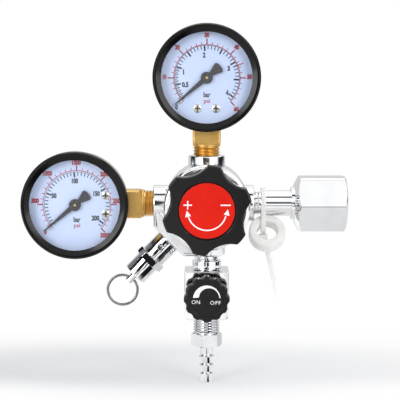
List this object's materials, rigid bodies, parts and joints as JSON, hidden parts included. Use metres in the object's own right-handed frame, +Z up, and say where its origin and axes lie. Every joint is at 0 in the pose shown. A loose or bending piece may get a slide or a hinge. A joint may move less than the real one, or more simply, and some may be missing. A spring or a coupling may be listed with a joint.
{
  "type": "carbon dioxide regulator",
  "caption": "Gas cylinder regulator with an adjusting knob, round gauges above and beside its body, a relief valve with a pull ring, and a shut-off valve with a hose barb.",
  "frame": {"origin": "centre of the sealing face at the end of the inlet", "axes": "+X out of the inlet towards the gas cylinder's valve, +Z up, the front with the knobs and dials faces -Y"},
  "size_m": [0.1634, 0.0566, 0.1824],
  "materials": {
    "chrome": "polished",
    "brass": "machined",
    "steel": "plain",
    "black_plastic": "moulded",
    "red_plastic": "satin",
    "rubber": "matte",
    "nylon": "moulded",
    "black_paint": "gloss",
    "grey_paint": "satin",
    "clear_plastic": "clear",
    "dial_paint": "matte",
    "sintered_bronze": "porous"
  },
  "bodies": {
    "regulator": {"regulator_body": "chrome", "bonnet": "chrome", "valve_nozzle": "brass", "inlet_nipple": "chrome", "inlet_filter": "sintered_bronze", "outlet_nipple": "chrome", "shutoff_block": "chrome", "gland_nut": "chrome", "hose_barb": "chrome", "relief_body": "chrome", "relief_cap": "chrome", "low_pressure_gauge_case": "grey_paint", "low_pressure_gauge_bezel": "black_paint", "low_pressure_gauge_window": "clear_plastic", "low_pressure_gauge_dial": "dial_paint", "low_pressure_gauge_socket": "brass", "low_pressure_gauge_bourdon_tube": "brass", "low_pressure_gauge_movement_frame": "brass", "high_pressure_gauge_case": "grey_paint", "high_pressure_gauge_bezel": "black_paint", "high_pressure_gauge_window": "clear_plastic", "high_pressure_gauge_dial": "dial_paint", "high_pressure_gauge_socket": "brass", "high_pressure_gauge_bourdon_tube": "brass", "high_pressure_gauge_movement_frame": "brass"},
    "adjuster": {"adjusting_knob": "black_plastic", "adjusting_screw": "steel", "knob_cap": "red_plastic", "knob_screw": "steel"},
    "spring_nut": {"spring_nut": "brass", "range_spring": "steel"},
    "diaphragm_plate": {"diaphragm_plate": "brass", "diaphragm": "rubber"},
    "valve_poppet": {"valve_poppet": "brass", "poppet_spring": "steel"},
    "stem_seal": {"stem_seal_ring": "rubber"},
    "flow_valve": {"flow_knob": "black_plastic", "shutoff_stem": "steel"},
    "check_ball": {"check_ball": "steel", "check_spring": "steel"},
    "relief_stem": {"relief_stem": "chrome", "relief_spring": "steel"},
    "pull_ring": {"pull_ring": "steel"},
    "inlet_nut": {"inlet_nut": "chrome"},
    "spare_washer": {"spare_washer": "nylon", "cable_tie": "nylon"},
    "low_pressure_pointer": {"low_pressure_gauge_pointer": "black_paint", "low_pressure_gauge_pinion": "brass"},
    "low_pressure_sector": {"low_pressure_gauge_sector": "brass"},
    "low_pressure_link": {"low_pressure_gauge_link": "brass"},
    "high_pressure_pointer": {"high_pressure_gauge_pointer": "black_paint", "high_pressure_gauge_pinion": "brass"},
    "high_pressure_sector": {"high_pressure_gauge_sector": "brass"},
    "high_pressure_link": {"high_pressure_gauge_link": "brass"}
  },
  "joints": [
    {"name": "adjuster_turn", "type": "hinge", "parent": "regulator", "child": "adjuster", "pos_m": [-0.0645, -0.035, 0], "axis": [0, 1, 0], "range_deg": [0, 1440]},
    {"name": "spring_nut_climb", "type": "slide", "parent": "regulator", "child": "spring_nut", "axis": [0, 1, 0], "range_m": [0, 0.006], "deforming": ["range_spring"]},
    {"name": "diaphragm_flex", "type": "slide", "parent": "regulator", "child": "diaphragm_plate", "axis": [0, 1, 0], "range_m": [0, 0.0008], "stiffness_N_per_m": 1000, "deforming": ["diaphragm"]},
    {"name": "poppet_lift", "type": "slide", "parent": "regulator", "child": "valve_poppet", "axis": [0, 1, 0], "range_m": [0, 0.0008], "deforming": ["poppet_spring"]},
    {"name": "stem_seal_slide", "type": "slide", "parent": "regulator", "child": "stem_seal", "axis": [0, 1, 0], "range_m": [0, 0.00075]},
    {"name": "flow_turn", "type": "hinge", "parent": "stem_seal", "child": "flow_valve", "pos_m": [-0.0645, -0.019, -0.0457], "axis": [0, 1, 0], "range_deg": [0, 270]},
    {"name": "check_ball_lift", "type": "slide", "parent": "regulator", "child": "check_ball", "axis": [0, 0, -1], "range_m": [0, 0.0015], "stiffness_N_per_m": 100, "springref_m": -0.001, "deforming": ["check_spring"]},
    {"name": "relief_lift", "type": "slide", "parent": "regulator", "child": "relief_stem", "axis": [-0.7071, 0, -0.7071], "range_m": [0, 0.0025], "stiffness_N_per_m": 1000, "springref_m": -0.002, "deforming": ["relief_spring"]},
    {"name": "ring_swing", "type": "hinge", "parent": "relief_stem", "child": "pull_ring", "pos_m": [-0.10282, 0, -0.03832], "axis": [-0.7071, 0, 0.7071], "range_deg": [-80, 80]},
    {"name": "inlet_nut_spin", "type": "hinge", "parent": "regulator", "child": "inlet_nut", "pos_m": [-0.007, 0, 0], "axis": [1, 0, 0], "continuous": true},
    {"name": "washer_swing", "type": "hinge", "parent": "regulator", "child": "spare_washer", "pos_m": [-0.0358, 0, 0], "axis": [1, 0, 0], "range_deg": [-60, 60]},
    {"name": "low_pressure_pointer_turn", "type": "hinge", "parent": "regulator", "child": "low_pressure_pointer", "pos_m": [-0.0645, -0.005, 0.0635], "axis": [0, 1, 0], "range_deg": [0, 270], "stiffness_Nm_per_rad": 0.00005, "springref_deg": -28.65},
    {"name": "low_pressure_sector_turn", "type": "hinge", "parent": "regulator", "child": "low_pressure_sector", "pos_m": [-0.0765, -0.004, 0.0635], "axis": [0, 1, 0], "range_deg": [-30, 0]},
    {"name": "low_pressure_link_turn", "type": "hinge", "parent": "low_pressure_sector", "child": "low_pressure_link", "pos_m": [-0.0765, -0.0051, 0.0695], "axis": [0, 1, 0], "range_deg": [0, 30]},
    {"name": "high_pressure_pointer_turn", "type": "hinge", "parent": "regulator", "child": "high_pressure_pointer", "pos_m": [-0.1305, -0.005, 0], "axis": [0, 1, 0], "range_deg": [0, 270], "stiffness_Nm_per_rad": 0.00005, "springref_deg": -28.65},
    {"name": "high_pressure_sector_turn", "type": "hinge", "parent": "regulator", "child": "high_pressure_sector", "pos_m": [-0.1305, -0.004, -0.012], "axis": [0, 1, 0], "range_deg": [-30, 0]},
    {"name": "high_pressure_link_turn", "type": "hinge", "parent": "high_pressure_sector", "child": "high_pressure_link", "pos_m": [-0.1365, -0.0051, -0.012], "axis": [0, 1, 0], "range_deg": [0, 30]}
  ],
  "couplings": [
    {"joint": "spring_nut_climb", "follows": "adjuster_turn", "m_per_rad": 0.0002387},
    {"joint": "poppet_lift", "follows": "diaphragm_flex", "ratio": 1},
    {"joint": "flow_turn", "follows": "stem_seal_slide", "rad_per_m": 6283.2},
    {"joint": "low_pressure_sector_turn", "follows": "low_pressure_pointer_turn", "ratio": -0.11111},
    {"joint": "low_pressure_link_turn", "follows": "low_pressure_pointer_turn", "ratio": 0.11111},
    {"joint": "high_pressure_sector_turn", "follows": "high_pressure_pointer_turn", "ratio": -0.11111},
    {"joint": "high_pressure_link_turn", "follows": "high_pressure_pointer_turn", "ratio": 0.11111}
  ]
}
